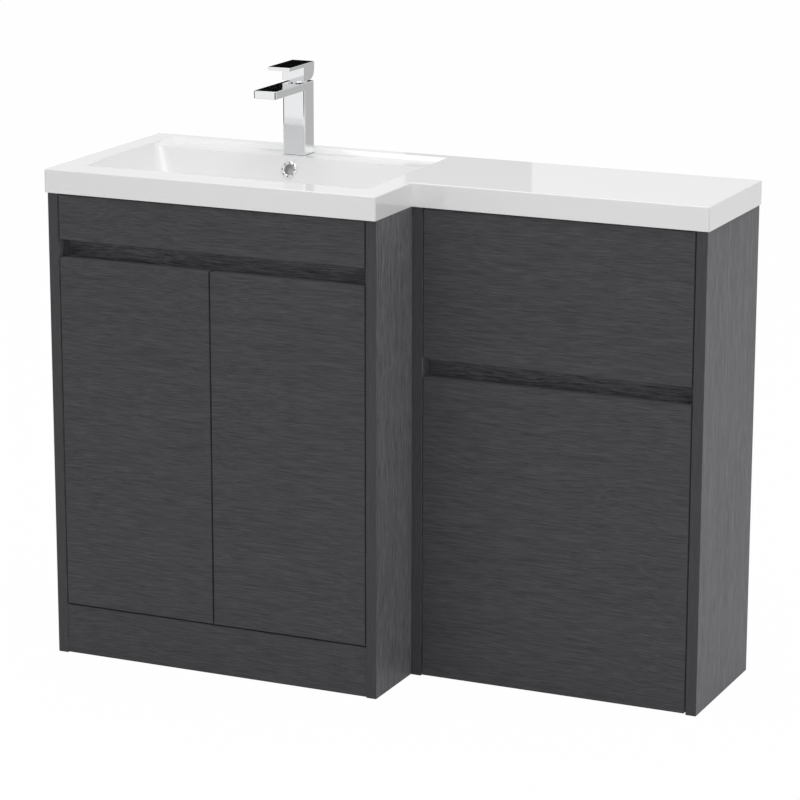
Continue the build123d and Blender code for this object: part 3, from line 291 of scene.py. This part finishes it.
def start_material(name):
    """A material with only a Principled BSDF on its output."""
    material, tree, output = empty_material(name)
    shader = add_node(tree, "ShaderNodeBsdfPrincipled")
    tree.links.new(shader.outputs[0], output.inputs["Surface"])
    return material, tree, shader


def colour_mix(tree, factor, first, second):
    """A colour between two written colours by a varying factor."""
    node = add_node(tree, "ShaderNodeMix", data_type="RGBA")
    tree.links.new(factor, node.inputs["Factor"])
    node.inputs[6].default_value = first
    node.inputs[7].default_value = second
    return node.outputs[2]


def bump(tree, shader, height, strength, distance):
    """A bump on the shader's normal."""
    node = add_node(tree, "ShaderNodeBump")
    node.inputs["Strength"].default_value = strength
    node.inputs["Distance"].default_value = distance
    tree.links.new(height, node.inputs["Height"])
    tree.links.new(node.outputs[0], shader.inputs["Normal"])


def painted_side_light_by_facing(tree, tone, colour):
    """The colour painted lighter for the light on the sides, kept on faces that look sideways, up or down;
    faces that look to the front or the back get a plainer edging tone.
    """
    face = add_node(tree, "ShaderNodeNewGeometry")
    split = add_node(tree, "ShaderNodeSeparateXYZ")
    tree.links.new(face.outputs["Normal"], split.inputs[0])
    band = remap(tree, math_node(tree, "ABSOLUTE", split.outputs["Y"], 0.0), edge_band_span)
    choice = add_node(tree, "ShaderNodeMix", data_type="RGBA")
    tree.links.new(band, choice.inputs["Factor"])
    tree.links.new(colour, choice.inputs[6])
    tree.links.new(colour_mix(tree, tone, edge_tone, edge_tone_pale), choice.inputs[7])
    return choice.outputs[2]


def laminate(name, dark, pale, turn=(0.0, 0.0, 0.0), banded=False):
    """Printed wood-grain laminate; the turn lays the grain along another axis."""
    material, tree, shader = start_material(name)
    place = add_node(tree, "ShaderNodeTexCoord")
    mapping = add_node(tree, "ShaderNodeMapping")
    mapping.inputs["Rotation"].default_value = turn
    tree.links.new(place.outputs["Object"], mapping.inputs["Vector"])
    grain = add_node(tree, "ShaderNodeGroup", node_tree=grain_group)
    grain.inputs["Streaks"].default_value = streaks_per_metre
    grain.inputs["Stretch"].default_value = streak_stretch
    grain.inputs["Wander"].default_value = grain_wander
    tree.links.new(mapping.outputs[0], grain.inputs["Vector"])
    tone = math_node(tree, "ADD", math_node(tree, "MULTIPLY", grain.outputs["Streaks"], streak_share),
                     math_node(tree, "MULTIPLY", grain.outputs["Drift"], drift_share))
    pores = math_node(tree, "MULTIPLY", grain.outputs["Pores"], pore_depth)
    tone = math_node(tree, "SUBTRACT", tone, pores, clamp=True)
    colour = colour_mix(tree, tone, dark, pale)
    # Only faces that look sideways, up or down keep the tone painted lighter for side light.
    if banded:
        colour = painted_side_light_by_facing(tree, tone, colour)
    tree.links.new(colour, shader.inputs["Base Color"])
    shader.inputs["Specular IOR Level"].default_value = laminate_specular
    smoothest = laminate_roughness - laminate_roughness_swing
    roughest = laminate_roughness + laminate_roughness_swing
    rough = remap(tree, grain.outputs["Streaks"], (0.0, 1.0), (smoothest, roughest))
    tree.links.new(rough, shader.inputs["Roughness"])
    shader.inputs["Sheen Weight"].default_value = laminate_sheen
    shader.inputs["Sheen Roughness"].default_value = laminate_sheen_roughness
    bump(tree, shader, tone, grain_relief, grain_relief_depth)
    return material


def varied(name, tone, roughness, swing, metallic=0.0, shade=0.9, patch=patch_scale, relief=0.0, coat=0.0):
    """A plain finish whose tone and roughness drift in patches, with fine specks or a clear coat."""
    material, tree, shader = start_material(name)
    place = add_node(tree, "ShaderNodeTexCoord")
    variation = add_node(tree, "ShaderNodeGroup", node_tree=variation_group)
    variation.inputs["Patch Size"].default_value = patch
    variation.inputs["Speck Size"].default_value = speck_scale
    tree.links.new(place.outputs["Object"], variation.inputs["Vector"])
    patches = variation.outputs["Patches"]
    darker = tuple(shade * value for value in tone[:3]) + (1.0,)
    tree.links.new(colour_mix(tree, patches, darker, tone), shader.inputs["Base Color"])
    rough = remap(tree, patches, (0.0, 1.0), (roughness, roughness + swing))
    tree.links.new(rough, shader.inputs["Roughness"])
    shader.inputs["Metallic"].default_value = metallic
    if relief:
        bump(tree, shader, variation.outputs["Specks"], relief, speck_relief_depth)
    if coat:
        shader.inputs["Coat Weight"].default_value = coat
        shader.inputs["Coat Roughness"].default_value = basin_coat_roughness
    return material


across_laminate = laminate("laminate_grain_across", front_tone, front_tone_pale)
# The carcass laminate takes the tones painted lighter for the light on the sides.
upright_laminate = laminate("laminate_grain_upright", painted_light_tone, painted_light_tone_pale, turn=(0.0, quarter, 0.0),
                            banded=True)
# The finger rails take the tones painted lighter: painted light that lifts the shade of their recessed gaps.
rail_laminate_painted_light = laminate("laminate_finger_rail_painted_light", painted_light_tone, painted_light_tone_pale)
gloss_basin = varied("gloss_cast_basin", basin_tone, roughness=0.09, swing=0.04, shade=0.985, patch=5.0,
                     coat=basin_coat)
chrome = varied("polished_chrome", chrome_tone, roughness=0.045, swing=0.03, metallic=1.0, shade=0.97)
steel = varied("zinc_plated_steel", steel_tone, roughness=0.28, swing=0.16, metallic=1.0, relief=0.1)
brass = varied("turned_brass", brass_tone, roughness=0.24, swing=0.12, metallic=1.0, relief=0.06)
# The black rubber finish also colours the blocks painted as shade in the overflow notches.
rubber_and_notch_shade = varied("black_rubber", rubber_tone, roughness=0.6, swing=0.18, shade=0.75, relief=0.25)
clear_pad = varied("clear_bumper", clear_pad_tone, roughness=0.2, swing=0.1, shade=0.94)
white_plastic = varied("white_moulded_plastic", white_plastic_tone, roughness=0.32, swing=0.12, shade=0.96,
                       relief=0.08)
grey_plastic = varied("grey_moulded_plastic", grey_plastic_tone, roughness=0.36, swing=0.14, shade=0.88,
                      relief=0.1)

finish_of_slot = {
    "front_laminate": across_laminate,
    "carcass_laminate": upright_laminate,
    "cast_basin": gloss_basin,
    "chrome_plate": chrome,
    "steel": steel,
    "brass": brass,
    "black_rubber": rubber_and_notch_shade,
    "clear_pad": clear_pad,
    "white_plastic": white_plastic,
    "grey_plastic": grey_plastic,
}
lying_boards = ("vanity_base_panel", "vanity_shelf", "vanity_upper_back_rail", "vanity_lower_back_rail",
                "wc_upper_back_rail", "wc_top_batten", "wc_bottom_batten")
finger_rails = ("vanity_finger_rail", "wc_finger_rail")


def dress(piece, material):
    """Gives a piece one material."""
    piece.data.materials.clear()
    piece.data.materials.append(material)


for node_name, node_object in nodes.items():
    dress(node_object, finish_of_slot[slot_of_node[node_name]])
for node_name in lying_boards:
    dress(nodes[node_name], across_laminate)
# Finger rails get the laminate painted lighter, standing in for light in their shaded gaps.
for node_name in finger_rails:
    dress(nodes[node_name], rail_laminate_painted_light)


# Making pieces
def place_object(name, data):
    """A new object in the scene."""
    made = bpy.data.objects.new(name, data)
    bpy.context.scene.collection.objects.link(made)
    return made


def body_of_node(node_name):
    """The record's body that carries a node."""
    for body, members in frame["record"]["behaviour"]["bodies"].items():
        if node_name in members:
            return body
    raise ValueError(node_name)


def finish_piece(piece, node_name, material):
    """Puts a finished piece, with the given material, on its node's body."""
    dress(piece, material)
    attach(piece, body_of_node(node_name))


def plain_mesh(host):
    """The evaluated mesh of an object, which is removed with its modifiers."""
    graph = bpy.context.evaluated_depsgraph_get()
    result = bpy.data.meshes.new_from_object(host.evaluated_get(graph))
    host.modifiers.clear()
    bpy.data.objects.remove(host)
    return result


def mesh_of(work, name):
    """A mesh of the work, all its faces smooth and pointing out."""
    bmesh.ops.recalc_face_normals(work, faces=work.faces)
    for face in work.faces:
        face.smooth = True
    mesh = bpy.data.meshes.new(name)
    work.to_mesh(mesh)
    work.free()
    return mesh


def smooth_copy(node_name, piece_name):
    """A merged copy of a node with smooth faces between its creases, which stands for the node."""
    mesh = nodes[node_name].data.copy()
    mesh.name = piece_name
    work = bmesh.new()
    work.from_mesh(mesh)
    bmesh.ops.remove_doubles(work, verts=work.verts, dist=merge_distance)
    for face in work.faces:
        face.smooth = True
    for edge in work.edges:
        edge.smooth = len(edge.link_faces) == 2 and edge.calc_face_angle(0.0) < crease_angle
    work.to_mesh(mesh)
    work.free()
    host = place_object(piece_name + "_work", mesh)
    weighting = host.modifiers.new("weighted_normals", "WEIGHTED_NORMAL")
    weighting.keep_sharp = True
    piece = place_object(piece_name, plain_mesh(host))
    finish_piece(piece, node_name, finish_of_slot[slot_of_node[node_name]])
    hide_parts(node_name)


smoothed = {
    "basin": "cast_basin",
    "tap_lever": "tap_lever_chrome",
    "tap_collar": "tap_collar_chrome",
    "overflow_ring": "overflow_trim_ring",
    "waste_plug": "waste_plug_cap",
    "waste_body": "waste_flange",
    "trap_cup": "trap_cup_moulded",
    "trap_body": "trap_body_moulded",
    "trap_outlet_pipe": "trap_pipe_moulded",
}
for node_name, piece_name in smoothed.items():
    smooth_copy(node_name, piece_name)


def tap_body_piece():
    """The square tap body with its flat spout, its upright edges rounded more than the others."""
    low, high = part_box("tap_body")
    front = high.y - tap_body_depth
    under = high.z - spout_thickness
    outline = [(high.y, low.z), (high.y, high.z), (low.y, high.z),
               (low.y, under), (front, under), (front, low.z)]
    work = bmesh.new()
    left = [work.verts.new((low.x, y, z)) for y, z in outline]
    right = [work.verts.new((high.x, y, z)) for y, z in outline]
    work.faces.new(left)
    work.faces.new(right[::-1])
    for index in range(len(outline)):
        after = (index + 1) % len(outline)
        work.faces.new((left[index], right[index], right[after], left[after]))
    rounding_share = work.edges.layers.float.new("bevel_weight_edge")
    for edge in work.edges:
        run = edge.verts[0].co - edge.verts[1].co
        edge[rounding_share] = 1.0 if abs(run.z) > max(abs(run.x), abs(run.y)) else tap_soft_edge
    host = place_object("tap_body_work", mesh_of(work, "tap_body_outline"))
    rounding = host.modifiers.new("rounding", "BEVEL")
    rounding.width = tap_bevel
    rounding.segments = tap_bevel_steps
    rounding.limit_method = "WEIGHT"
    rounding.harden_normals = True
    piece = place_object("tap_body_chrome", plain_mesh(host))
    finish_piece(piece, "tap_body", chrome)
    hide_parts("tap_body")


tap_body_piece()


def overflow_flange(centre, turn):
    """The domed flange of the overflow ring, turned from its section."""
    section = [(flange_bore, -flange_sink), (flange_bore, flange_lip_rise * flange_proud),
               (flange_crown_radius, flange_proud),
               (flange_shoulder_radius, flange_shoulder_rise * flange_proud),
               (flange_radius, 0.0), (flange_radius, -flange_sink)]
    work = bmesh.new()
    rings = []
    for step in range(flange_steps):
        angle = 2 * math.pi * step / flange_steps
        rings.append([work.verts.new((r * math.cos(angle), r * math.sin(angle), h)) for r, h in section])
    for step in range(flange_steps):
        here = rings[step]
        there = rings[(step + 1) % flange_steps]
        for index in range(len(section)):
            after = (index + 1) % len(section)
            work.faces.new((here[index], there[index], there[after], here[after]))
    mesh = mesh_of(work, "overflow_flange")
    mesh.transform(Matrix.Translation(centre) @ turn)
    finish_piece(place_object("overflow_flange", mesh), "overflow_ring", chrome)


# Rings of small blocks: black blocks painted as the shade in the overflow notches, and grip ribs
def make_ring_tree():
    """A geometry tree that sets blocks round a circle, each turned to face out."""
    tree = bpy.data.node_groups.new("ring_of_blocks", "GeometryNodeTree")
    sockets = {}
    for socket, kind in (("Count", "NodeSocketInt"), ("Radius", "NodeSocketFloat"),
                         ("Block", "NodeSocketVector"), ("Finish", "NodeSocketMaterial")):
        made = tree.interface.new_socket(name=socket, in_out="INPUT", socket_type=kind)
        sockets[socket] = made.identifier
    tree.interface.new_socket(name="Geometry", in_out="OUTPUT", socket_type="NodeSocketGeometry")
    start = add_node(tree, "NodeGroupInput")
    end = add_node(tree, "NodeGroupOutput")
    circle = add_node(tree, "GeometryNodeMeshCircle")
    tree.links.new(start.outputs["Count"], circle.inputs["Vertices"])
    tree.links.new(start.outputs["Radius"], circle.inputs["Radius"])
    block = add_node(tree, "GeometryNodeMeshCube")
    tree.links.new(start.outputs["Block"], block.inputs["Size"])
    place = add_node(tree, "GeometryNodeInputPosition")
    face_out = add_node(tree, "FunctionNodeAlignRotationToVector", axis="X", pivot_axis="Z")
    tree.links.new(place.outputs[0], face_out.inputs["Vector"])
    spread = add_node(tree, "GeometryNodeInstanceOnPoints")
    tree.links.new(circle.outputs[0], spread.inputs["Points"])
    tree.links.new(block.outputs[0], spread.inputs["Instance"])
    tree.links.new(face_out.outputs[0], spread.inputs["Rotation"])
    real = add_node(tree, "GeometryNodeRealizeInstances")
    tree.links.new(spread.outputs[0], real.inputs[0])
    painted = add_node(tree, "GeometryNodeSetMaterial")
    tree.links.new(real.outputs[0], painted.inputs[0])
    tree.links.new(start.outputs["Finish"], painted.inputs["Material"])
    tree.links.new(painted.outputs[0], end.inputs[0])
    return tree, sockets


ring_tree, ring_sockets = make_ring_tree()


def ring_of_blocks(piece_name, node_name, centre, turn, count, radius, block, material):
    """One ring of blocks as a plain mesh on its node's body."""
    host = place_object(piece_name + "_work", bpy.data.meshes.new(piece_name + "_work"))
    ring = host.modifiers.new("ring", "NODES")
    ring.node_group = ring_tree
    ring[ring_sockets["Count"]] = count
    ring[ring_sockets["Radius"]] = radius
    ring[ring_sockets["Block"]] = block
    ring[ring_sockets["Finish"]] = material
    mesh = plain_mesh(host)
    mesh.name = piece_name
    mesh.transform(Matrix.Translation(centre) @ turn)
    finish_piece(place_object(piece_name, mesh), node_name, material)


ring_low, ring_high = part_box("overflow_ring")
ring_middle = (ring_low + ring_high) / 2
ring_radius = (ring_high.x - ring_low.x) / 2
facing = Vector((0.0, -math.cos(overflow_tilt), math.sin(overflow_tilt)))
tilt = Matrix.Rotation(quarter - overflow_tilt, 4, "X")
ring_face = Vector((ring_middle.x, ring_low.y + ring_radius * math.sin(overflow_tilt),
                    ring_high.z - ring_radius * math.cos(overflow_tilt)))
overflow_flange(ring_face, tilt)
# Black blocks on the flange stand for the shade in the overflow notches: painted shade.
ring_of_blocks("overflow_notch_shade_blocks", "overflow_ring", ring_face + facing * flange_proud, tilt, notch_count,
               notch_circle_share * flange_radius, notch_size, rubber_and_notch_shade)

cup_low, cup_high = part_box("trap_cup")
cup_middle = (cup_low + cup_high) / 2
cup_radius = (cup_high.x - cup_low.x) / 2
cup_height = cup_high.z - cup_low.z
rib_place = Vector((cup_middle.x, cup_middle.y, cup_high.z - rib_drop_share * cup_height))
ring_of_blocks("trap_cup_ribs", "trap_cup", rib_place, Matrix.Identity(4), rib_count, cup_radius,
               (rib_depth, rib_width, rib_height_share * cup_height), white_plastic)


# Studio
def make_camera():
    """The camera at the photograph's angle."""
    data = bpy.data.cameras.new("camera")
    data.sensor_width = camera_sensor
    data.lens = camera_lens
    data.shift_x = camera_shift_x
    data.shift_y = camera_shift_y
    data.clip_end = camera_reach
    camera = place_object("camera", data)
    turn = Matrix((camera_right, camera_up, -camera_forward)).transposed()
    camera.matrix_world = Matrix.Translation(camera_place) @ turn.to_4x4()
    bpy.context.scene.camera = camera


def background_rays(tree):
    """One where a ray from the camera, a reflection or a clear piece arrives, else zero."""
    path = add_node(tree, "ShaderNodeLightPath")
    seen = math_node(tree, "MAXIMUM", path.outputs["Is Camera Ray"], path.outputs["Is Glossy Ray"])
    return math_node(tree, "MAXIMUM", seen, path.outputs["Is Transmission Ray"])


def make_world():
    """A white backdrop, and a dimmer even light on the object."""
    world = bpy.data.worlds.new("studio")
    bpy.context.scene.world = world
    world.use_nodes = True
    tree = world.node_tree
    tree.nodes.clear()
    light = add_node(tree, "ShaderNodeBackground")
    strength = remap(tree, background_rays(tree), (0.0, 1.0), (ambient_strength, backdrop_strength))
    tree.links.new(strength, light.inputs["Strength"])
    output = add_node(tree, "ShaderNodeOutputWorld")
    tree.links.new(light.outputs[0], output.inputs["Surface"])


def stage_sheet(name, corners, material):
    """A flat four-cornered studio piece with one material."""
    mesh = bpy.data.meshes.new(name)
    mesh.from_pydata(corners, [], [(0, 1, 2, 3)])
    mesh.materials.append(material)
    return place_object(name, mesh)


def make_floor():
    """A pale floor that reads white and keeps the object's shadow."""
    material, tree, output = empty_material("pale_floor")
    matt = add_node(tree, "ShaderNodeBsdfDiffuse")
    matt.inputs["Color"].default_value = (floor_albedo, floor_albedo, floor_albedo, 1.0)
    glow = add_node(tree, "ShaderNodeEmission")
    blend = add_node(tree, "ShaderNodeMixShader")
    share = math_node(tree, "MULTIPLY", background_rays(tree), floor_glow_share)
    tree.links.new(share, blend.inputs["Fac"])
    tree.links.new(matt.outputs[0], blend.inputs[1])
    tree.links.new(glow.outputs[0], blend.inputs[2])
    tree.links.new(blend.outputs[0], output.inputs["Surface"])
    corners = [(-floor_reach, -floor_reach, 0), (floor_reach, -floor_reach, 0),
               (floor_reach, floor_reach, 0), (-floor_reach, floor_reach, 0)]
    stage_sheet("floor", corners, material)


def area_light(name, place, target, size, power):
    """A square soft light aimed at a point."""
    data = bpy.data.lights.new(name, "AREA")
    data.size = size
    data.energy = power
    light = place_object(name, data)
    light.location = place
    light.rotation_euler = (Vector(target) - Vector(place)).to_track_quat("-Z", "Y").to_euler()


def flag(name, tone, x0, y0, x1, y1, low, high):
    """An upright studio card that only reflections see, to draw the edges of polished metal."""
    material, tree, output = empty_material(name + "_card")
    glow = add_node(tree, "ShaderNodeEmission")
    glow.inputs["Color"].default_value = (tone, tone, tone, 1.0)
    tree.links.new(glow.outputs[0], output.inputs["Surface"])
    card = stage_sheet(name, [(x0, y0, low), (x1, y1, low), (x1, y1, high), (x0, y0, high)], material)
    card.visible_camera = False
    card.visible_diffuse = False
    card.visible_shadow = False
    card.visible_transmission = False


tap_low, tap_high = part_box("tap_body")
lever_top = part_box("tap_lever")[1].z
card_y = tap_high.y + card_behind
card_x = tap_low.x - black_card_left
flag("flag_behind_tap", flag_tone, card_x - black_card_half, card_y, card_x + black_card_half, card_y,
     lever_top + black_card_low, lever_top + black_card_high)
flag("grey_flag_behind_tap", grey_flag_tone, tap_high.x + grey_card_near, card_y,
     tap_high.x + grey_card_far, card_y, tap_low.z - grey_card_drop, lever_top)
flag("flag_right", flag_tone, *right_card)
flag("flag_left", flag_tone, *left_card)
make_camera()
make_world()
make_floor()
for light_name, (place, target, size, power) in softboxes.items():
    area_light(light_name, place, target, size, power)
bpy.context.scene.view_settings.view_transform = "Standard"
